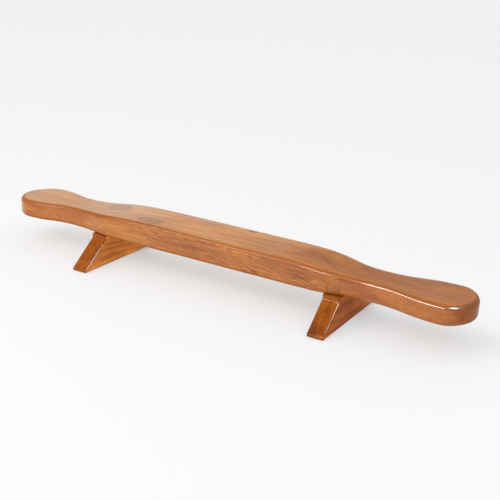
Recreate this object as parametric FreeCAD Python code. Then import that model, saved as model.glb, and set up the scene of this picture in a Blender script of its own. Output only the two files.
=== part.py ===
import FreeCAD, Part
import os

# A low wooden board that stands level on two fixed feet. It has a wide middle, a narrower neck
# outside each foot and a rounded handle at each end. Millimetres, +Z up, +X along the board,
# origin on the floor at the middle of the board.

V = FreeCAD.Vector
os.makedirs("parts", exist_ok=True)

# Board: its plan. The two ends are cut by hand and differ a little, so each has its own sizes.
# shoulder, foot, neck, bulge, dip_start and dip_end are distances from that end's tip. sole_width
# is that end's foot, front to back at the floor.
board_length = 1000.0
board_width = 112.0          # across the straight middle
left_end = {"shoulder": 284.0, "foot": 238.0, "neck": 156.0, "bulge": 52.0,
            "neck_width": 82.0, "handle_width": 116.0, "dip_start": 363.0, "dip_end": 110.0,
            "sole_width": 229.0}
right_end = {"shoulder": 305.0, "foot": 243.0, "neck": 179.0, "bulge": 44.0,
             "neck_width": 80.0, "handle_width": 118.0, "dip_start": 363.0, "dip_end": 155.0,
             "sole_width": 217.0}
nose_fullness = 0.5          # 0.55 is an ellipse, more is squarer
curve_reach = 0.5            # share of a curve's length that its end tangents reach

# Board: its thickness and height. The top falls from dip_start to dip_end towards each handle.
board_thickness = 47.5
handle_thickness = 36.5
board_arris = 7.0            # radius that every long edge is rounded to
underside_height = 61.5      # floor to the board's underside

# Feet
foot_top_thickness = 35.0
foot_sole_thickness = 33.0
foot_top_width = 107.0       # front to back where it meets the board
foot_shoulder = 8.0          # upright face just under the board
toe_land = 6.0               # upright face at each toe
foot_arris = 3.0

# Fixings: two screws in each foot, driven up from the sole and covered with plugs
screw_spacing = 48.0         # front to back, between the two screws of a foot
screw_bite = 32.5            # how far the tip goes into the board
thread_length = 42.0
thread_diameter = 5.0
root_diameter = 3.2
shank_diameter = 3.7
thread_pitch = 2.4
tip_length = 5.0
head_diameter = 10.0
head_rim = 0.6               # upright rim of the countersunk head
recess_width = 1.3
recess_span = 5.2
recess_depth = 1.6
plug_margin = 1.0            # of the plug beyond the screw's head, on the radius
plug_length = 14.0
plug_chamfer = 0.8
counterbore_depth = 24.0
foot_clearance = 0.25        # on the radius, around the thread where it passes the foot
thread_clearance = 0.05      # on the radius, in the board
head_clearance = 0.05        # on the radius, under the head
pilot_spare = 1.0            # hole beyond the screw's tip

# Working limits
upright_normal = 0.5         # a face whose normal rises or falls less than this is a side face
upright_span = 0.7           # an edge that runs less than this sideways is upright
full_turn = 360.0

board_top = underside_height + board_thickness
half_length = board_length / 2
left_foot_x = left_end["foot"] - half_length
right_foot_x = half_length - right_end["foot"]
screw_tip_height = underside_height + screw_bite
screw_length = screw_tip_height - counterbore_depth
plug_diameter = head_diameter + 2 * plug_margin


def bezier(*points):
    curve = Part.BezierCurve()
    curve.setPoles([V(*p) for p in points])
    return curve.toShape()


def s_curve(x1, v1, x2, v2, place):
    """Edge from (x1, v1) to (x2, v2) that starts and ends level; place makes a 3-D point."""
    reach = (x2 - x1) * curve_reach
    return bezier(place(x1, v1), place(x1 + reach, v1), place(x2 - reach, v2), place(x2, v2))


def half_plan(side):
    """Outline edges of one long side, from the left nose to the right nose."""
    def place(x, y):
        return (x, side * y, underside_height)

    middle = board_width / 2
    shoulders = []
    edges = []
    for end, cut in ((-1, left_end), (1, right_end)):
        spots = ("shoulder", "neck", "bulge")
        shoulder_x, neck_x, bulge_x = [half_length - cut[spot] for spot in spots]
        neck, bulge = cut["neck_width"] / 2, cut["handle_width"] / 2
        shoulders.append(V(*place(end * shoulder_x, middle)))
        edges.append(s_curve(end * shoulder_x, middle, end * neck_x, neck, place))
        edges.append(s_curve(end * neck_x, neck, end * bulge_x, bulge, place))
        edges.append(bezier(place(end * bulge_x, bulge),
                            place(end * (bulge_x + cut["bulge"] * nose_fullness), bulge),
                            place(end * half_length, bulge * nose_fullness),
                            place(end * half_length, 0)))
    edges.append(Part.makeLine(*shoulders))
    return edges


def closed_face(edges):
    return Part.Face(Part.Wire(Part.__sortEdges__(edges)))


def side_profile():
    """Front view of the board: flat below, full in the middle and thinner at both handles."""
    reach = 2 * board_width                  # deeper than the board, so it cuts right through
    handle_top = underside_height + handle_thickness

    def place(x, z):
        return (x, -reach, z)

    def line(*ends):
        return Part.makeLine(*[V(*place(x, z)) for x, z in ends])

    edges = [line((-half_length, underside_height), (half_length, underside_height))]
    dip_starts = []
    for end, cut in ((-1, left_end), (1, right_end)):
        dip_start, dip_end = [end * (half_length - cut[spot]) for spot in ("dip_start", "dip_end")]
        dip_starts.append((dip_start, board_top))
        edges.append(s_curve(dip_start, board_top, dip_end, handle_top, place))
        edges.append(line((dip_end, handle_top), (end * half_length, handle_top)))
        edges.append(line((end * half_length, handle_top), (end * half_length, underside_height)))
    edges.append(line(*dip_starts))
    return closed_face(edges).extrude(V(0, 2 * reach, 0))


def is_upright(edge):
    """True for an edge that runs straight up the board's side."""
    box = edge.BoundBox
    return box.XLength < upright_span and box.YLength < upright_span


def make_board():
    plan = closed_face(half_plan(-1) + half_plan(1)).extrude(V(0, 0, board_thickness))
    blank = plan.common(side_profile()).removeSplitter()
    sides = [f for f in blank.Faces if abs(f.normalAt(0, 0).z) < upright_normal]
    rim = [e for f in sides for e in f.Edges if not is_upright(e)]
    unique = []
    for edge in rim:
        if not any(edge.isSame(other) for other in unique):
            unique.append(edge)
    rounded = blank.makeFillet(board_arris, unique)
    for x, y in screw_places(left_foot_x, right_foot_x):
        depth = screw_tip_height + pilot_spare - underside_height
        radius = thread_diameter / 2 + thread_clearance
        rounded = rounded.cut(Part.makeCylinder(radius, depth, V(x, y, underside_height)))
    return rounded


def screw_places(*feet):
    return [(foot_x, front * screw_spacing / 2) for foot_x in feet for front in (-1, 1)]


def make_foot(foot_x, sole_width):
    """A trapezoid block across the board, a little thinner at the sole than at the top."""
    top, sole = foot_top_width / 2, sole_width / 2
    outline = [(-sole, 0), (sole, 0), (sole, toe_land), (top, underside_height - foot_shoulder),
               (top, underside_height), (-top, underside_height),
               (-top, underside_height - foot_shoulder), (-sole, toe_land)]
    thickest = max(foot_top_thickness, foot_sole_thickness)
    x0 = foot_x - thickest / 2
    wire = Part.makePolygon([V(x0, y, z) for y, z in outline + outline[:1]])
    block = Part.Face(wire).extrude(V(thickest, 0, 0))
    wide, thin = foot_top_thickness / 2, foot_sole_thickness / 2
    taper = [(-thin, 0), (thin, 0), (wide, underside_height), (-wide, underside_height)]
    wire = Part.makePolygon([V(foot_x + x, -sole, z) for x, z in taper + taper[:1]])
    block = block.common(Part.Face(wire).extrude(V(0, 2 * sole, 0)))
    free = [e for e in block.Edges if e.BoundBox.ZMin < underside_height - foot_arris / 2]
    block = block.makeFillet(foot_arris, free)
    for x, y in screw_places(foot_x):
        block = block.cut(fixing_hole(x, y))
    return block


def turned(points, x, y, z):
    """Solid of revolution about an upright axis, from (radius, height) points."""
    wire = Part.makePolygon([V(r, 0, h) for r, h in points + points[:1]])
    solid = Part.Face(wire).revolve(V(0, 0, 0), V(0, 0, 1), full_turn)
    solid.translate(V(x, y, z))
    return solid


def head_height():
    return (head_diameter - shank_diameter) / 2 + head_rim


def fixing_hole(x, y):
    """Plug hole, countersink and clearance hole, open at the sole and at the top."""
    bore, thread = plug_diameter / 2, thread_diameter / 2 + foot_clearance
    head = head_diameter / 2 + head_clearance
    cone_end = counterbore_depth + head_rim + head - thread
    return turned([(0, -foot_arris), (bore, -foot_arris), (bore, counterbore_depth),
                   (head, counterbore_depth), (head, counterbore_depth + head_rim),
                   (thread, cone_end), (thread, underside_height + foot_arris),
                   (0, underside_height + foot_arris)], x, y, 0)


def make_screw(x, y):
    """Countersunk wood screw, head down, with a cross recess and a ring for each thread turn."""
    head, shank = head_diameter / 2, shank_diameter / 2
    crest, root = thread_diameter / 2, root_diameter / 2
    thread_start = screw_length - thread_length
    points = [(0, 0), (head, 0), (head, head_rim), (shank, head_height()), (shank, thread_start)]
    turns = int((thread_length - tip_length) / thread_pitch)
    for turn in range(turns):
        start = thread_start + turn * thread_pitch
        points += [(root, start), (crest, start + thread_pitch / 2)]
    points += [(root, thread_start + turns * thread_pitch), (root, screw_length - tip_length)]
    points += [(0, screw_length)]
    screw = turned(points, x, y, counterbore_depth)
    for wide, long in ((recess_width, recess_span), (recess_span, recess_width)):
        corner = V(x - wide / 2, y - long / 2, counterbore_depth)
        screw = screw.cut(Part.makeBox(wide, long, recess_depth, corner))
    return screw


def make_plug(x, y):
    radius = plug_diameter / 2
    return turned([(0, 0), (radius, 0), (radius, plug_length - plug_chamfer),
                   (radius - plug_chamfer, plug_length), (0, plug_length)], x, y, 0)


def export(node, shape):
    assert shape.isValid(), node
    shape.exportStep("parts/" + node + ".step")
    box = shape.BoundBox
    sizes = [round(v, 2) for v in (box.XLength, box.YLength, box.ZLength)]
    print(node, len(shape.Solids), "solids", sizes)


all_screws = screw_places(left_foot_x, right_foot_x)
export("board", make_board())
export("left_foot", make_foot(left_foot_x, left_end["sole_width"]))
export("right_foot", make_foot(right_foot_x, right_end["sole_width"]))
export("foot_screws", Part.makeCompound([make_screw(x, y) for x, y in all_screws]))
export("screw_plugs", Part.makeCompound([make_plug(x, y) for x, y in all_screws]))
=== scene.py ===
import math
import bpy
from mathutils import Matrix, Vector, noise


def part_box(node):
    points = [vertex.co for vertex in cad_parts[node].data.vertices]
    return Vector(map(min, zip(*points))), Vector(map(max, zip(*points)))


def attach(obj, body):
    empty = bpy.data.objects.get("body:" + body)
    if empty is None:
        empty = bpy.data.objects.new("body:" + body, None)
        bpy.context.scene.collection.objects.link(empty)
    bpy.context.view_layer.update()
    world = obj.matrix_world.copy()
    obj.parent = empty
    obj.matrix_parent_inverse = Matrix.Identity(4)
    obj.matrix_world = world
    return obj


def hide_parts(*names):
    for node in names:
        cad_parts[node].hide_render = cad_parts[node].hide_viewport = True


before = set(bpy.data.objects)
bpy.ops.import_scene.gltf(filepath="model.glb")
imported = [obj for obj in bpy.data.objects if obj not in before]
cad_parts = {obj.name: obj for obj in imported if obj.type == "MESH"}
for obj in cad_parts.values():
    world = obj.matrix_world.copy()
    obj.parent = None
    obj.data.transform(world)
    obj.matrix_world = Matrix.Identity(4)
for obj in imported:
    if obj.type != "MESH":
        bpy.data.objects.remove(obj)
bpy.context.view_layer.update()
scene = bpy.context.scene
print("frame loaded")


def smoothStep(low, high, value):
    share = min(max((value - low) / (high - low), 0.0), 1.0)
    return share * share * (3 - 2 * share)


# helpers that add one shader node and give back its output

def addNode(tree, kind, values=None, **settings):
    node = tree.nodes.new(kind)
    for name, value in settings.items():
        setattr(node, name, value)
    for socket, value in (values or {}).items():
        if isinstance(value, bpy.types.NodeSocket):
            tree.links.new(value, node.inputs[socket])
        else:
            node.inputs[socket].default_value = value
    return node


def calculate(tree, operation, first, second=0.0):
    return addNode(tree, "ShaderNodeMath", {0: first, 1: second}, operation=operation).outputs[0]


def times(tree, first, *others):
    for other in others:
        first = calculate(tree, "MULTIPLY", first, other)
    return first


def vectorCalculate(tree, operation, first, second):
    node = addNode(tree, "ShaderNodeVectorMath", {0: first, 1: second}, operation=operation)
    return node.outputs["Value" if operation == "LENGTH" else "Vector"]


def fade(tree, value, low, high, outLow=0.0, outHigh=1.0):
    sockets = {0: value, 1: low, 2: high, 3: outLow, 4: outHigh}
    return addNode(tree, "ShaderNodeMapRange", sockets, interpolation_type="SMOOTHSTEP").outputs[0]


def mixColor(tree, share, first, second, blend="MIX"):
    sockets = {0: share, 6: first, 7: second}
    return addNode(tree, "ShaderNodeMix", sockets, data_type="RGBA", blend_type=blend).outputs[2]


# 1 between the two middle values, fading to 0 at the outer ones
def between(tree, value, first, second, third, fourth):
    return times(tree, fade(tree, value, first, second), fade(tree, value, third, fourth, 1.0, 0.0))


def shaded(tree, share, color, shade):
    return mixColor(tree, share, color, mixColor(tree, 1.0, color, shade, "MULTIPLY"))


# stretch is how many features there are in a metre along each axis
def stretchedNoise(tree, place, stretch, detail=3.0, roughness=0.55):
    scaled = vectorCalculate(tree, "MULTIPLY", place, stretch)
    sockets = {"Vector": scaled, "Scale": 1.0, "Detail": detail, "Roughness": roughness}
    return addNode(tree, "ShaderNodeTexNoise", sockets).outputs["Fac"]


def newGroup(name, inputs, outputs):
    group = bpy.data.node_groups.new(name, "ShaderNodeTree")
    for label, kind, default in inputs:
        socket = group.interface.new_socket(label, in_out="INPUT", socket_type=kind)
        socket.default_value = default
    for label, kind in outputs:
        group.interface.new_socket(label, in_out="OUTPUT", socket_type=kind)
    given = group.nodes.new("NodeGroupInput").outputs
    return group, given, group.nodes.new("NodeGroupOutput").inputs


def useGroup(tree, group, values):
    return addNode(tree, "ShaderNodeGroup", values, node_tree=group)


def axesOf(tree, place):
    return addNode(tree, "ShaderNodeSeparateXYZ", {0: place}).outputs


def newMaterial(name):
    material = bpy.data.materials.new(name)
    material.use_nodes = True
    return material, material.node_tree, material.node_tree.nodes["Principled BSDF"]


# the camera looks down on the front of the board from the right
cameraSettings = {
    "place": (0.8438, -1.3985, 0.6595),
    "turnLeft": 0.5115,
    "lookDown": 0.3425,
    "roll": -0.0585,
    "lens": 64.87,
    "sensor": 36.0,
    "farEnd": 100.0,
}


def makeCamera(settings):
    turn, down, roll = settings["turnLeft"], settings["lookDown"], settings["roll"]
    ahead = Vector((-math.sin(turn) * math.cos(down),
                    math.cos(turn) * math.cos(down),
                    -math.sin(down)))
    level = Vector((math.cos(turn), math.sin(turn), 0))
    below = ahead.cross(level)
    across = math.cos(roll) * level + math.sin(roll) * below
    downwards = -math.sin(roll) * level + math.cos(roll) * below
    data = bpy.data.cameras.new("camera")
    data.lens = settings["lens"]
    data.sensor_width = settings["sensor"]
    data.clip_end = settings["farEnd"]
    camera = bpy.data.objects.new("camera", data)
    camera.matrix_world = (Matrix.Translation(settings["place"])
                           @ Matrix((across, -downwards, -ahead)).transposed().to_4x4())
    scene.collection.objects.link(camera)
    scene.camera = camera


makeCamera(cameraSettings)
print("camera placed")


# distances are from that end's tip
board = {
    "leftEnd": {"shoulder": 0.284, "neck": 0.156, "bulge": 0.052, "neckWidth": 0.082,
                "handleWidth": 0.116, "dipStart": 0.363, "dipEnd": 0.110},
    "rightEnd": {"shoulder": 0.305, "neck": 0.179, "bulge": 0.044, "neckWidth": 0.080,
                 "handleWidth": 0.118, "dipStart": 0.363, "dipEnd": 0.155},
    "middleWidth": 0.112,
    "handleThickness": 0.0365,
    "noseFullness": 0.5,
    "arris": 0.0068,
    "noseArris": 0.0088,
    "arrisSteps": 6,
    "wallSteps": 6,
    "pointSpacing": 0.003,
    "noseReach": 1.3,         # the rounding starts to grow this far back, in lengths of the nose
    "arrisWobble": 0.0007,
    "sideWave": 0.0005,       # how deep the hand-cut unevenness goes
    "topWave": 0.0003,
    "tipCalm": 0.06,          # the last part of each handle, where the sides are more even
    # waves in a metre along each axis
    "wobbleScale": 26,
    "swellScale": (13, 20, 9),
    "toolScale": (70, 60, 14),
    "topScale": (9, 26),
    "insideShares": (0.06, 0.16, 0.30, 0.46, 0.62, 0.78, 0.90),
    "spineShare": 0.6,        # how far the middle line runs into each rounded nose
    "halvings": 24,           # steps of the search for the top's height
}


# an S-shaped curve that starts and ends level: how far along and how far across it is at its share t
def sAlong(t):
    return 1.5 * t - 1.5 * t * t + t ** 3


def sAcross(t):
    return 3 * t * t - 2 * t ** 3


# such a curve as points, from its first end to its second
def sCurve(x1, v1, x2, v2, steps=60):
    points = []
    for step in range(steps):
        t = step / steps
        points.append((x1 + (x2 - x1) * sAlong(t), v1 + (v2 - v1) * sAcross(t)))
    return points


def noseCurve(tipX, bulgeX, halfWidth, fullness, steps=60):
    reach = tipX - bulgeX
    poles = ((tipX, 0), (tipX, halfWidth * fullness),
             (bulgeX + reach * fullness, halfWidth), (bulgeX, halfWidth))
    points = []
    for step in range(steps):
        t = step / steps
        weights = ((1 - t) ** 3, 3 * t * (1 - t) ** 2, 3 * t * t * (1 - t), t ** 3)
        points.append(tuple(sum(w * p[i] for w, p in zip(weights, poles)) for i in (0, 1)))
    return points


# one end's outline from its tip to its shoulder, for the half where the width is positive
def endOutline(cut, halfLength, middleWidth, fullness):
    shoulder, neck, bulge = (halfLength - cut[name] for name in ("shoulder", "neck", "bulge"))
    points = noseCurve(halfLength, bulge, cut["handleWidth"] / 2, fullness)
    points += sCurve(bulge, cut["handleWidth"] / 2, neck, cut["neckWidth"] / 2)
    points += sCurve(neck, cut["neckWidth"] / 2, shoulder, middleWidth / 2)
    return points + [(shoulder, middleWidth / 2)]


def evenlySpaced(points, spacing):
    lengths = [0.0]
    for a, b in zip(points, points[1:]):
        lengths.append(lengths[-1] + math.dist(a, b))
    count = round(lengths[-1] / spacing)
    result, at = [], 0
    for index in range(count + 1):
        want = lengths[-1] * index / count
        while at < len(points) - 2 and lengths[at + 1] < want:
            at += 1
        share = (want - lengths[at]) / (lengths[at + 1] - lengths[at])
        result.append(Vector(points[at]).lerp(Vector(points[at + 1]), share))
    return result


def endAt(x):
    return board["leftEnd"] if x < 0 else board["rightEnd"]


# the board's top height at x, full in the middle and lower towards each handle
def topHeight(x, low, high):
    halfLength = (high.x - low.x) / 2
    cut = endAt(x)
    first, last = halfLength - cut["dipStart"], halfLength - cut["dipEnd"]
    if abs(x) <= first:
        return high.z
    if abs(x) >= last:
        return low.z + board["handleThickness"]
    lowT, highT = 0.0, 1.0
    for halving in range(board["halvings"]):
        t = (lowT + highT) / 2
        if first + (last - first) * sAlong(t) < abs(x):
            lowT = t
        else:
            highT = t
    return high.z + (low.z + board["handleThickness"] - high.z) * sAcross(t)


def makeBoard():
    low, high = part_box("board")
    halfLength = (high.x - low.x) / 2
    shape = (halfLength, board["middleWidth"], board["noseFullness"])
    left = [(-x, w) for x, w in endOutline(board["leftEnd"], *shape)]
    right = endOutline(board["rightEnd"], *shape)
    front = evenlySpaced(left + right[::-1] + [(halfLength, 0.0)], board["pointSpacing"])
    last = len(front) - 1
    rim = [Vector((p.x, -p.y)) for p in front] + [Vector((p.x, p.y)) for p in front[last - 1:0:-1]]
    count = len(rim)
    outward = []
    for index in range(count):
        along = rim[(index + 1) % count] - rim[index - 1]
        outward.append(Vector((along.y, -along.x)).normalized())

    # the place along the middle line that a point of the rim at x belongs to
    def spineX(x):
        side = -1 if x < 0 else 1
        start = side * (halfLength - endAt(x)["bulge"])
        if abs(x) > abs(start):
            return start + (x - start) * board["spineShare"]
        return x

    def arrisAt(point):
        noseStart = halfLength - endAt(point.x)["bulge"] * board["noseReach"]
        nose = smoothStep(noseStart, halfLength, abs(point.x))
        scale = board["wobbleScale"]
        wobble = board["arrisWobble"] * noise.noise(Vector((point.x * scale, point.y * scale, 3.0)))
        return board["arris"] + (board["noseArris"] - board["arris"]) * nose + wobble

    # each ring is a closed line of points round the board, from the underside's middle to the top's
    rings, band = [], []
    topZ = [topHeight(p.x, low, high) for p in rim]
    radius = [arrisAt(p) for p in rim]

    def sideDip(point, z):
        swellX, swellY, swellZ = board["swellScale"]
        toolX, toolY, toolZ = board["toolScale"]
        swell = noise.noise(Vector((point.x * swellX, point.y * swellY, z * swellZ)))
        tool = noise.noise(Vector((point.x * toolX, point.y * toolY, z * toolZ + 7)))
        still = 1 - 0.8 * smoothStep(halfLength - board["tipCalm"], halfLength, abs(point.x))
        return board["sideWave"] * still * (0.55 + 0.35 * swell + 0.1 * tool)

    def topDip(x, y):
        swellX, swellY = board["topScale"]
        swell = noise.noise(Vector((x * swellX, y * swellY, 1.5)))
        return board["topWave"] * (0.5 + 0.5 * swell)

    # 1 on the rounding itself and 0 on the flat faces beside it
    def edgeShare(turn):
        return smoothStep(0.0, 0.75, math.sin(2 * turn))

    def addRing(inset, height, share):
        ring = []
        for index, point in enumerate(rim):
            z = height(index)
            flat = point - outward[index] * (inset(index) + sideDip(point, z))
            top = smoothStep(topZ[index] - radius[index], topZ[index], z)
            ring.append((flat.x, flat.y, z - top * topDip(flat.x, flat.y)))
        rings.append(ring)
        band.append(share)

    def insideRing(share, height, top):
        ring = []
        for index, point in enumerate(rim):
            edge = point - outward[index] * (radius[index] + sideDip(point, height(index)))
            middle = Vector((spineX(point.x), 0.0))
            flat = edge.lerp(middle, share)
            z = topHeight(flat.x, low, high) - topDip(flat.x, flat.y) if top else height(index)
            ring.append((flat.x, flat.y, z))
        rings.append(ring)
        band.append(0.0)

    for share in board["insideShares"][::-1]:
        insideRing(share, lambda i: low.z, False)
    quarter = math.pi / 2
    for step in range(board["arrisSteps"] + 1):
        turn = quarter * step / board["arrisSteps"]
        addRing(lambda i: radius[i] * (1 - math.sin(turn)),
                lambda i: low.z + radius[i] * (1 - math.cos(turn)), edgeShare(turn))
    for step in range(1, board["wallSteps"]):
        up = step / board["wallSteps"]
        addRing(lambda i: 0.0,
                lambda i: (low.z + radius[i]) * (1 - up) + (topZ[i] - radius[i]) * up, 0.0)
    for step in range(board["arrisSteps"] + 1):
        turn = quarter * step / board["arrisSteps"]
        addRing(lambda i: radius[i] * (1 - math.cos(turn)),
                lambda i: topZ[i] - radius[i] * (1 - math.sin(turn)), edgeShare(turn))
    for share in board["insideShares"]:
        insideRing(share, lambda i: topZ[i], True)

    points = [p for ring in rings for p in ring]
    shares = [s for s in band for index in range(count)]
    faces = []
    for ring in range(len(rings) - 1):
        first, second = ring * count, (ring + 1) * count
        for index in range(count):
            after = (index + 1) % count
            faces.append((first + index, first + after, second + after, second + index))

    # the two halves of the underside and of the top meet on a shared middle line
    for ring, top in ((0, False), (len(rings) - 1, True)):
        start = len(points)
        for index in range(last + 1):
            x = spineX(rim[index].x)
            z = topHeight(x, low, high) - topDip(x, 0.0) if top else low.z
            points.append((x, 0.0, z))
            shares.append(0.0)
        for index in range(count):
            after = (index + 1) % count
            middle = start + (index if index <= last else count - index)
            middleAfter = start + (after if after <= last else count - after)
            face = (ring * count + index, ring * count + after, middleAfter, middle)
            faces.append(face if top else face[::-1])

    mesh = bpy.data.meshes.new("plank")
    mesh.from_pydata(points, [], faces)
    mesh.validate()
    mesh.shade_smooth()
    mesh.attributes.new("edgeBand", "FLOAT", "POINT").data.foreach_set("value", shares)
    piece = bpy.data.objects.new("plank", mesh)
    scene.collection.objects.link(piece)
    return piece


plank = makeBoard()
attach(plank, "root")
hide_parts("board")
print("plank made, faces:", len(plank.data.polygons))


# wood that is cut from a log: growth rings round an axis along X, fibres, dark pores, short dark
# dashes where the vessels are cut along, and slow changes between two shades and a duller one
def makeWoodGroup():
    group, given, result = newGroup("sawnWood", [
        ("Vector", "NodeSocketVector", (0, 0, 0)), ("Lift", "NodeSocketFloat", 0.0),
        ("Log Y", "NodeSocketFloat", 0.03), ("Log Z", "NodeSocketFloat", -0.10),
        ("Ring Width", "NodeSocketFloat", 0.0035), ("Ring Contrast", "NodeSocketFloat", 0.2),
        ("Pale", "NodeSocketColor", (0.5, 0.2, 0.07, 1)),
        ("Dark", "NodeSocketColor", (0.3, 0.1, 0.03, 1)),
        ("Dusk", "NodeSocketColor", (0.4, 0.2, 0.1, 1)), ("Dusk Share", "NodeSocketFloat", 0.3),
        ("Dash Share", "NodeSocketFloat", 0.0), ("Dash", "NodeSocketColor", (0.2, 0.06, 0.02, 1)),
        ("Pore Depth", "NodeSocketFloat", 0.4)], [
        ("Color", "NodeSocketColor"), ("Height", "NodeSocketFloat"), ("Gloss Mask", "NodeSocketFloat")])
    place = given["Vector"]
    axes = axesOf(group, place)
    sideways = calculate(group, "SUBTRACT", axes["Y"], given["Log Y"])
    upwards = calculate(group, "SUBTRACT", axes["Z"], given["Log Z"])
    squares = calculate(group, "ADD", times(group, sideways, sideways), times(group, upwards, upwards))
    radial = calculate(group, "SQRT", squares)
    for stretch, depth in (((1.6, 9, 9), 0.045), ((9, 45, 45), 0.006), ((30, 130, 130), 0.0018)):
        bend = times(group, stretchedNoise(group, place, stretch, 2.0), depth)
        radial = calculate(group, "ADD", radial, bend)
    radial = calculate(group, "ADD", radial, given["Lift"])
    ringPlace = calculate(group, "FRACT", calculate(group, "DIVIDE", radial, given["Ring Width"]))
    late = between(group, ringPlace, 0.15, 0.82, 0.84, 0.99)
    fibre = stretchedNoise(group, place, (14, 420, 420), 3.0, 0.6)
    streak = stretchedNoise(group, place, (7, 110, 110), 3.0, 0.65)
    cloud = stretchedNoise(group, place, (6, 24, 24), 3.0)
    tone = times(group, late, given["Ring Contrast"])
    for source, weight in ((fibre, 1.1), (streak, 1.1), (cloud, 1.5)):
        part = times(group, calculate(group, "SUBTRACT", source, 0.5), weight)
        tone = calculate(group, "ADD", tone, part)
    tone = calculate(group, "ADD", tone, 0.42)
    color = mixColor(group, tone, given["Pale"], given["Dark"])
    duskPatch = fade(group, stretchedNoise(group, place, (9, 38, 38), 3.0, 0.6), 0.42, 0.66)
    color = mixColor(group, times(group, duskPatch, given["Dusk Share"]), color, given["Dusk"])
    tilt = {"Vector": place, "Rotation": (0.0, -0.14, 0.0)}
    tilted = addNode(group, "ShaderNodeMapping", tilt).outputs[0]
    dashes = fade(group, stretchedNoise(group, tilted, (50, 600, 600), 2.0, 0.55), 0.48, 0.55)
    thick = fade(group, stretchedNoise(group, place, (11, 40, 40), 2.0), 0.36, 0.62, 0.35, 1.0)
    dashShade = times(group, dashes, thick, given["Dash Share"])
    color = mixColor(group, dashShade, color, given["Dash"])
    pores = fade(group, stretchedNoise(group, place, (60, 900, 900), 1.0), 0.62, 0.72)
    poreColor = (0.10, 0.03, 0.012, 1)
    color = mixColor(group, times(group, pores, given["Pore Depth"]), color, poreColor)
    group.links.new(color, result["Color"])
    hollows = calculate(group, "MAXIMUM", pores, dashShade)
    height = calculate(group, "SUBTRACT", times(group, fibre, 0.5), hollows)
    group.links.new(height, result["Height"])
    group.links.new(calculate(group, "ADD", times(group, cloud, 0.5), hollows), result["Gloss Mask"])
    return group


# a knot: a round stain with a darker rim and heart, which also pushes the growth rings aside
def makeKnotGroup():
    group, given, result = newGroup("knot", [
        ("Vector", "NodeSocketVector", (0, 0, 0)), ("Centre", "NodeSocketVector", (0, 0, 0)),
        ("Size", "NodeSocketVector", (0.025, 0.02, 0.08)), ("Ragged", "NodeSocketFloat", 0.7)], [
        ("Mask", "NodeSocketFloat"), ("Heart", "NodeSocketFloat"), ("Lift", "NodeSocketFloat")])
    away = vectorCalculate(group, "SUBTRACT", given["Vector"], given["Centre"])
    away = vectorCalculate(group, "DIVIDE", away, given["Size"])
    distance = vectorCalculate(group, "LENGTH", away, (0, 0, 0))
    torn = calculate(group, "SUBTRACT", stretchedNoise(group, given["Vector"], (45, 170, 170), 3.0), 0.5)
    reach = calculate(group, "ADD", distance, times(group, torn, given["Ragged"]))
    body = times(group, fade(group, reach, 0.55, 1.1, 1.0, 0.0), 0.55)
    rim = times(group, fade(group, reach, 0.5, 0.8), fade(group, reach, 0.8, 1.1, 0.55, 0.0))
    group.links.new(calculate(group, "ADD", body, rim), result["Mask"])
    group.links.new(fade(group, reach, 0.05, 0.4, 1.0, 0.0), result["Heart"])
    group.links.new(fade(group, distance, 0.0, 1.9, 0.012, 0.0), result["Lift"])
    return group


woodGroup = makeWoodGroup()
knotGroup = makeKnotGroup()
print("wood and knot groups built")


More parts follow.
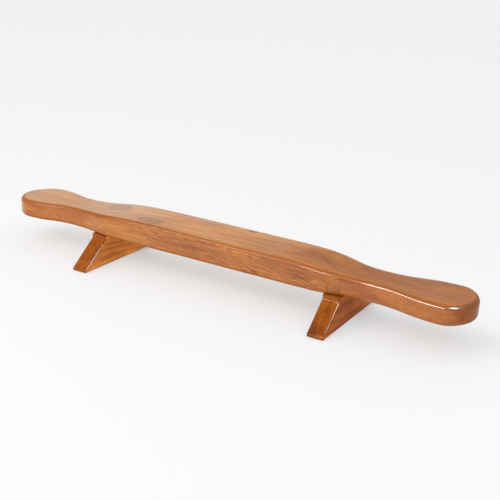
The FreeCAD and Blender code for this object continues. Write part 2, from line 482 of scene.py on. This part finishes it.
boardFinish = {
    "pale": (0.70, 0.270, 0.042, 1),
    "dark": (0.33, 0.082, 0.008, 1),
    "dusk": (0.42, 0.18, 0.065, 1),
    "dash": (0.21, 0.050, 0.010, 1),
    # painted reflection: the top is painted paler and bluer in the middle, in place of a soft reflection
    # there
    "paintedMiddleSheen": (1.07, 1.13, 1.22, 1),     # the top is paler in the middle
    "middleEnds": (-0.17, -0.06, 0.13, 0.24),
    # painted shade: the colour turns darker and redder towards the right end, in place of the paler
    # glancing reflection on the left end
    "paintedRightShade": (0.84, 0.72, 0.55, 1),      # the right end is darker and redder than the left,
    "rightFade": (-0.05, 0.42),
    # painted shade: the sides are painted a little darker than the top, for the shade they get
    "paintedSideShade": (0.98, 0.96, 0.88, 1),       # the sides are a little darker than the top,
    "handleShade": (0.84, 0.71, 0.56, 1),     # the left handle's sides are much darker,
    "handleEnds": (-0.33, -0.27),
    "endGrain": (0.62, 0.50, 0.42, 1),        # and both tips soak up more stain
    "sideFacing": (0.35, 0.75),               # how much a face turns up, for top and for side
    "tipFacing": (0.35, 0.95),                # how much a face turns along X, for side and for tip
    "logY": 0.035,
    "logZ": -0.05,
    "rings": 0.0036,
    "contrast": 0.16,
    "duskShare": 0.45,
    "sideDusk": 0.3,                          # of duskShare, on the sides
    "dashShare": 0.85,
    "dashEnds": (-0.24, -0.08, 0.264, 0.273),  # dashes grow in and stop again along X
    "dashRest": 0.15,                         # share of them that is left outside these
    "poreDepth": 0.35,
    # painted shade: the rounded edges are painted darker than the faces beside them
    "edgeShade": (0.36, 0.092, 0.006, 1),
    "edgeShare": 0.8,
    "paintedDarkEdge": (0.10, 0.045, 0.022, 1),      # the back edge and the right tip's edge are darkest
    "backFade": (0.012, 0.036),
    "backShare": 0.75,
    "tipFade": (0.455, 0.480),
    "tipShare": 0.45,
    "stain": (0.175, 0.052, 0.014, 1),
    "heart": (0.12, 0.036, 0.012, 1),
    "heartShare": 0.6,
    "knots": (
        {"centre": (-0.261, 0.014, 0.112), "size": (0.031, 0.0230, 0.09), "strength": 0.80},
        {"centre": (-0.153, -0.027, 0.112), "size": (0.031, 0.0160, 0.09), "strength": 0.72},
        {"centre": (0.038, 0.043, 0.112), "size": (0.012, 0.0060, 0.06), "strength": 0.95},
        {"centre": (0.330, -0.041, 0.075), "size": (0.008, 0.0120, 0.0050), "strength": 0.60},
    ),
    "seam": 0.2665,                           # where the flecked part of the sides ends
    "seamHalfWidth": 0.0008,
    "seamShade": (0.62, 0.52, 0.45, 1),
    # painted shade: a darker patch on the upper side just right of the seam, where the side turns away
    "patchEnds": (0.266, 0.270, 0.300, 0.335),
    "patchHeights": (0.084, 0.096),
    "paintedPatchShade": (0.62, 0.42, 0.30, 1),
    # how much the varnish on the front edge shines, and where along X; elsewhere the edges are dull
    "shineEnds": ((0.7, 0.180, 0.205, 0.258, 0.268), (1.0, 0.303, 0.309, 0.486, 0.494)),
    "dullCoat": 0.02,
    "tipDull": 0.35,
    "woodShine": 0.15,
    "roughness": 0.40,
    "coat": 1.0,
    "coatRoughness": 0.09,
}


def makeBoardMaterial(finish):
    material, tree, shader = newMaterial("varnishedBoard")
    coordinates = addNode(tree, "ShaderNodeTexCoord").outputs
    place = coordinates["Object"]
    axes = axesOf(tree, place)
    facing = axesOf(tree, coordinates["Normal"])
    upright = calculate(tree, "ABSOLUTE", facing["Z"])
    sideFace = fade(tree, upright, *finish["sideFacing"], 1.0, 0.0)
    lift, stain, heart = 0.0, None, None
    for knot in finish["knots"]:
        values = {"Vector": place, "Centre": knot["centre"], "Size": knot["size"]}
        spot = useGroup(tree, knotGroup, values)
        mask = times(tree, spot.outputs["Mask"], knot["strength"])
        core = times(tree, spot.outputs["Heart"], knot["strength"])
        stain = mask if stain is None else calculate(tree, "MAXIMUM", stain, mask)
        heart = core if heart is None else calculate(tree, "MAXIMUM", heart, core)
        lift = calculate(tree, "ADD", lift, spot.outputs["Lift"])
    flecked = calculate(tree, "MAXIMUM", between(tree, axes["X"], *finish["dashEnds"]), finish["dashRest"])
    dashShare = times(tree, flecked, sideFace, finish["dashShare"])
    sideDusk = finish["duskShare"] * finish["sideDusk"]
    duskShare = fade(tree, sideFace, 0.0, 1.0, finish["duskShare"], sideDusk)
    wood = useGroup(tree, woodGroup, {
        "Vector": place, "Lift": lift, "Log Y": finish["logY"], "Log Z": finish["logZ"],
        "Ring Width": finish["rings"], "Ring Contrast": finish["contrast"],
        "Pale": finish["pale"], "Dark": finish["dark"], "Dusk": finish["dusk"], "Dusk Share": duskShare,
        "Dash Share": dashShare, "Dash": finish["dash"], "Pore Depth": finish["poreDepth"]})

    # the shades of the wood from place to place; some are painted light: the paler middle of the top is a
    # painted reflection, and the darker right end, sides and patch are painted shade
    onTop = calculate(tree, "SUBTRACT", 1.0, sideFace)
    patchHeight = fade(tree, axes["Z"], *finish["patchHeights"])
    offSeam = calculate(tree, "ABSOLUTE", calculate(tree, "SUBTRACT", axes["X"], finish["seam"]))
    atSeam = fade(tree, offSeam, 0.0, finish["seamHalfWidth"] * 2, 1.0, 0.0)
    tip = fade(tree, calculate(tree, "ABSOLUTE", facing["X"]), *finish["tipFacing"])
    color = wood.outputs["Color"]
    for share, shade in (
            (fade(tree, axes["X"], *finish["rightFade"]), "paintedRightShade"),
            (times(tree, between(tree, axes["X"], *finish["middleEnds"]), onTop), "paintedMiddleSheen"),
            (sideFace, "paintedSideShade"),
            (times(tree, fade(tree, axes["X"], *finish["handleEnds"], 1.0, 0.0), sideFace), "handleShade"),
            (times(tree, patchHeight, sideFace, between(tree, axes["X"], *finish["patchEnds"])),
             "paintedPatchShade"),
            (times(tree, atSeam, sideFace), "seamShade"),
            (tip, "endGrain")):
        color = shaded(tree, share, color, finish[shade])
    color = mixColor(tree, stain, color, finish["stain"])
    color = mixColor(tree, times(tree, heart, finish["heartShare"]), color, finish["heart"])

    # the rounded edges, painted darker: painted shade
    band = addNode(tree, "ShaderNodeAttribute", attribute_name="edgeBand").outputs["Fac"]
    color = mixColor(tree, times(tree, band, finish["edgeShare"]), color, finish["edgeShade"])
    # painted shade: the back edge and the right tip's edge are painted darkest
    backDark = fade(tree, axes["Y"], *finish["backFade"], 0.0, finish["backShare"])
    tipDark = fade(tree, axes["X"], *finish["tipFade"], 0.0, finish["tipShare"])
    darkest = calculate(tree, "MAXIMUM", backDark, tipDark)
    color = mixColor(tree, times(tree, band, darkest), color, finish["paintedDarkEdge"])
    tree.links.new(color, shader.inputs["Base Color"])
    finishWood(tree, shader, wood, finish)
    shines = [times(tree, between(tree, axes["X"], *ends), share) for share, *ends in finish["shineEnds"]]
    front = calculate(tree, "LESS_THAN", axes["Y"], 0.0)
    shine = times(tree, calculate(tree, "MAXIMUM", *shines), front)
    dull = times(tree, band, calculate(tree, "SUBTRACT", 1.0, shine))
    dull = calculate(tree, "MAXIMUM", dull, times(tree, tip, finish["tipDull"]))
    coat = fade(tree, dull, 0.0, 0.5, finish["coat"], finish["dullCoat"])
    tree.links.new(coat, shader.inputs["Coat Weight"])
    return material


# the varnish lies over the wood as one clear coat, so the wood under it has little shine of its own
varnish = {
    "grainRoughness": 0.12,
    "bumpStrength": 0.25,
    "bumpDistance": 0.0003,
    "ior": 1.4,
}


def finishWood(tree, shader, wood, finish):
    grain = times(tree, wood.outputs["Gloss Mask"], varnish["grainRoughness"])
    tree.links.new(calculate(tree, "ADD", grain, finish["roughness"]), shader.inputs["Roughness"])
    bump = addNode(tree, "ShaderNodeBump", {
        "Height": wood.outputs["Height"], "Strength": varnish["bumpStrength"],
        "Distance": varnish["bumpDistance"]})
    tree.links.new(bump.outputs[0], shader.inputs["Normal"])
    shader.inputs["Specular IOR Level"].default_value = finish["woodShine"]
    shader.inputs["Coat Weight"].default_value = finish["coat"]
    shader.inputs["Coat IOR"].default_value = varnish["ior"]
    shader.inputs["Coat Roughness"].default_value = finish["coatRoughness"]


footFinish = {
    "rings": 0.0045,
    "contrast": 0.35,
    "dusk": (0.20, 0.048, 0.010, 1),
    "duskShare": 0.35,
    "poreDepth": 0.5,
    "edgeShade": (0.13, 0.026, 0.004, 1),
    "woodShine": 0.03,
    "roughness": 0.38,
    "coat": 0.4,
    "sideCoat": 0.06,
    "coatRoughness": 0.08,
    "grainTurn": (0.10, 0.0, math.radians(90)),  # the grain runs across the board
    "frontFacing": (0.3, 0.7),                # how much a face turns along X, for front and for side
    "toeHeights": (0.010, 0.024),             # the stain lies blotchy on each toe
    "toeShade": (0.45, 0.40, 0.36, 1),
    "blotches": (450, 300, 450),              # in a metre along each axis
    "blotchFade": (0.42, 0.58),
    "roundingStain": (0.02, 0.2, 0.0, 0.7),   # the stain is darker on the rounding beside the front,
    "roundingShine": (0.08, 0.18),            # and the varnish shines there
    # painted shade: the right foot's colours are painted darker than the left foot's, for the shade on it
    # near the board
    "left_foot": {"logY": 0.02, "logZ": -0.06, "start": (0.11, 0.0, 0.0),
                  "pale": (0.98, 0.37, 0.072, 1), "dark": (0.47, 0.125, 0.022, 1),
                  "paintedFrontShade": (0.50, 0.36, 0.16, 1), "toeShare": 0.25},
    "right_foot": {"logY": -0.03, "logZ": 0.12, "start": (0.53, 0.2, 0.0),
                   "pale": (0.55, 0.145, 0.008, 1), "dark": (0.23, 0.042, 0.003, 1),
                   "paintedFrontShade": (0.92, 0.96, 0.7, 1), "toeShare": 0.9},
}


def makeFootMaterial(node, finish):
    own = finish[node]
    material, tree, shader = newMaterial(node + "Wood")
    coordinates = addNode(tree, "ShaderNodeTexCoord").outputs
    place = coordinates["Object"]
    turned = addNode(tree, "ShaderNodeMapping", {
        "Vector": place, "Location": own["start"], "Rotation": finish["grainTurn"]}).outputs[0]
    wood = useGroup(tree, woodGroup, {
        "Vector": turned, "Log Y": own["logY"], "Log Z": own["logZ"], "Ring Width": finish["rings"],
        "Ring Contrast": finish["contrast"], "Pale": own["pale"], "Dark": own["dark"],
        "Dusk": finish["dusk"], "Dusk Share": finish["duskShare"], "Pore Depth": finish["poreDepth"]})
    facing = axesOf(tree, coordinates["Normal"])["X"]
    square = times(tree, facing, facing)
    onFront = fade(tree, square, *finish["frontFacing"], 1.0, 0.0)
    # painted shade: the front faces are painted darker than the sides
    color = shaded(tree, onFront, wood.outputs["Color"], own["paintedFrontShade"])
    height = axesOf(tree, place)["Z"]
    spots = stretchedNoise(tree, place, finish["blotches"], 2.0)
    blotches = fade(tree, spots, *finish["blotchFade"])
    toe = times(tree, fade(tree, height, *finish["toeHeights"], own["toeShare"], 0.0), onFront)
    color = shaded(tree, times(tree, toe, blotches), color, finish["toeShade"])
    rounding = times(tree, square, calculate(tree, "SUBTRACT", 1.0, square))
    color = mixColor(tree, fade(tree, rounding, *finish["roundingStain"]), color, finish["edgeShade"])
    tree.links.new(color, shader.inputs["Base Color"])
    finishWood(tree, shader, wood, finish)
    coat = fade(tree, onFront, 0.0, 1.0, finish["sideCoat"], finish["coat"])
    ridge = fade(tree, rounding, *finish["roundingShine"])
    tree.links.new(calculate(tree, "MAXIMUM", coat, ridge), shader.inputs["Coat Weight"])
    return material


plugFinish = {
    "grainStart": (0.3, 0.1, 0.2),
    "grainTurn": (0.0, math.radians(90), 0.4),   # end grain shows at the sole
    "rings": 0.0022,
    "contrast": 0.7,
    "pale": (0.45, 0.18, 0.06, 1),
    "dark": (0.22, 0.07, 0.02, 1),
    "duskShare": 0.2,
    "poreDepth": 0.6,
    "grainRoughness": 0.15,
    "roughness": 0.45,
    "coat": 0.3,
}


def makePlugMaterial(finish):
    material, tree, shader = newMaterial("plugWood")
    place = addNode(tree, "ShaderNodeTexCoord").outputs["Object"]
    turned = addNode(tree, "ShaderNodeMapping", {
        "Vector": place, "Location": finish["grainStart"], "Rotation": finish["grainTurn"]}).outputs[0]
    wood = useGroup(tree, woodGroup, {
        "Vector": turned, "Ring Width": finish["rings"], "Ring Contrast": finish["contrast"],
        "Pale": finish["pale"], "Dark": finish["dark"], "Dusk Share": finish["duskShare"],
        "Pore Depth": finish["poreDepth"]})
    tree.links.new(wood.outputs["Color"], shader.inputs["Base Color"])
    grain = times(tree, wood.outputs["Gloss Mask"], finish["grainRoughness"])
    tree.links.new(calculate(tree, "ADD", grain, finish["roughness"]), shader.inputs["Roughness"])
    shader.inputs["Coat Weight"].default_value = finish["coat"]
    return material


screwFinish = {
    "bright": (0.66, 0.65, 0.60, 1),
    "dull": (0.50, 0.50, 0.49, 1),
    "clouds": (400, 400, 400),                # in a metre along each axis
    "colorFade": (0.35, 0.65),
    "roughness": (0.3, 0.7, 0.28, 0.42),
}


def makeScrewMaterial(finish):
    material, tree, shader = newMaterial("screwSteel")
    place = addNode(tree, "ShaderNodeTexCoord").outputs["Object"]
    cloud = stretchedNoise(tree, place, finish["clouds"], 4.0)
    color = mixColor(tree, fade(tree, cloud, *finish["colorFade"]), finish["bright"], finish["dull"])
    tree.links.new(color, shader.inputs["Base Color"])
    tree.links.new(fade(tree, cloud, *finish["roughness"]), shader.inputs["Roughness"])
    shader.inputs["Metallic"].default_value = 1.0
    return material


def paint(piece, material):
    piece.data.materials.clear()
    piece.data.materials.append(material)


paint(plank, makeBoardMaterial(boardFinish))
for footNode in ("left_foot", "right_foot"):
    paint(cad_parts[footNode], makeFootMaterial(footNode, footFinish))
paint(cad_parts["screw_plugs"], makePlugMaterial(plugFinish))
paint(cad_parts["foot_screws"], makeScrewMaterial(screwFinish))
print("materials made")


studio = {
    "floorSize": 40.0,
    "floorDrop": 0.0002,                      # the floor lies just under the feet
    "floorRoughness": 0.7,
    "floorShine": 0.2,
    "floorColor": (0.38, 0.327, 0.318, 1),
    "floorNear": (0.508, 0.563, 0.575, 1),    # lit from within, so shadows on it stay faint,
    "floorFar": (0.502, 0.556, 0.568, 1),     # and a little less so behind the object
    "floorFade": (-0.1, 1.3),                 # along Y
    "shadeColor": (0.72, 0.63, 0.615, 1),     # close under the board it takes shadows more strongly,
    "shadeGlow": (0.158, 0.250, 0.268, 1),    # with the same brightness where there are none
    "shadeCentre": 0.085,
    "shadeReach": (0.010, 0.105),
    "shadeEnds": (0.65, 1.0),                 # along X, away from the middle
    "skyLight": 0.99,                   # the even light that falls on everything
    "skySeen": (0.89, 0.89, 0.895, 1),  # what is seen past the end of the floor
    "skyLow": (0.98, 0.93, 0.80, 1),    # what the varnish mirrors near the horizon
    "skyHigh": (0.22, 0.22, 0.23, 1),   # and higher up
    "skyFade": (0.27, 0.37),            # as the height of a direction, 1 is straight up
    "lights": (
        {"name": "frontLeftCard", "place": (-0.28, -1.24, 0.86), "aim": (0.1, 0, 0.1),
         "size": (1.60, 0.30), "power": 72.0, "onlyShine": True},
        {"name": "rightCard", "place": (0.93, -0.13, 0.85), "aim": (0.4, 0, 0.08),
         "size": (0.34, 0.34), "power": 18.0, "onlyShine": True},
        {"name": "wideTop", "place": (-0.7, -1.4, 2.0), "aim": (0, 0, 0),
         "size": (1.5, 1.5), "power": 14.0, "onlyShine": False},
    ),
}


def makeFloor():
    half = studio["floorSize"] / 2
    mesh = bpy.data.meshes.new("floor")
    corners = [(-half, -half, 0), (half, -half, 0), (half, half, 0), (-half, half, 0)]
    mesh.from_pydata(corners, [], [(0, 1, 2, 3)])
    floor = bpy.data.objects.new("floor", mesh)
    floor.location.z = -studio["floorDrop"]
    scene.collection.objects.link(floor)
    material, tree, shader = newMaterial("paleFloor")
    shader.inputs["Roughness"].default_value = studio["floorRoughness"]
    shader.inputs["Specular IOR Level"].default_value = studio["floorShine"]
    shader.inputs["Emission Strength"].default_value = 1.0
    axes = axesOf(tree, addNode(tree, "ShaderNodeTexCoord").outputs["Object"])
    toBack = fade(tree, axes["Y"], *studio["floorFade"])
    glow = mixColor(tree, toBack, studio["floorNear"], studio["floorFar"])
    offCentre = calculate(tree, "ABSOLUTE", calculate(tree, "SUBTRACT", axes["Y"], studio["shadeCentre"]))
    along = calculate(tree, "ABSOLUTE", axes["X"])
    under = times(tree, fade(tree, offCentre, *studio["shadeReach"], 1.0, 0.0),
                  fade(tree, along, *studio["shadeEnds"], 1.0, 0.0))
    color = mixColor(tree, under, studio["floorColor"], studio["shadeColor"])
    tree.links.new(mixColor(tree, under, glow, studio["shadeGlow"]), shader.inputs["Emission Color"])
    tree.links.new(color, shader.inputs["Base Color"])
    paint(floor, material)


def makeLights():
    for settings in studio["lights"]:
        data = bpy.data.lights.new(settings["name"], "AREA")
        data.shape = "RECTANGLE"
        data.size, data.size_y = settings["size"]
        data.energy = settings["power"]
        light = bpy.data.objects.new(settings["name"], data)
        light.location = settings["place"]
        toAim = Vector(settings["aim"]) - light.location
        light.rotation_euler = toAim.to_track_quat("-Z", "Y").to_euler()
        light.visible_diffuse = not settings["onlyShine"]
        light.visible_glossy = settings["onlyShine"]
        scene.collection.objects.link(light)


# an even sky lights the object, and the varnish mirrors a pale horizon under a darker ceiling
def makeSky():
    world = bpy.data.worlds.new("studio")
    scene.world = world
    world.use_nodes = True
    tree = world.node_tree
    direction = addNode(tree, "ShaderNodeTexCoord").outputs["Generated"]
    up = axesOf(tree, direction)["Z"]
    mirrored = mixColor(tree, fade(tree, up, *studio["skyFade"]), studio["skyLow"], studio["skyHigh"])
    rays = addNode(tree, "ShaderNodeLightPath").outputs
    level = studio["skyLight"]
    color = mixColor(tree, rays["Is Glossy Ray"], (level, level, level, 1), mirrored)
    color = mixColor(tree, rays["Is Camera Ray"], color, studio["skySeen"])
    tree.links.new(color, tree.nodes["Background"].inputs["Color"])
    tree.nodes["Background"].inputs["Strength"].default_value = 1.0


makeFloor()
makeLights()
makeSky()
scene.view_settings.view_transform = "Standard"
print("studio set")
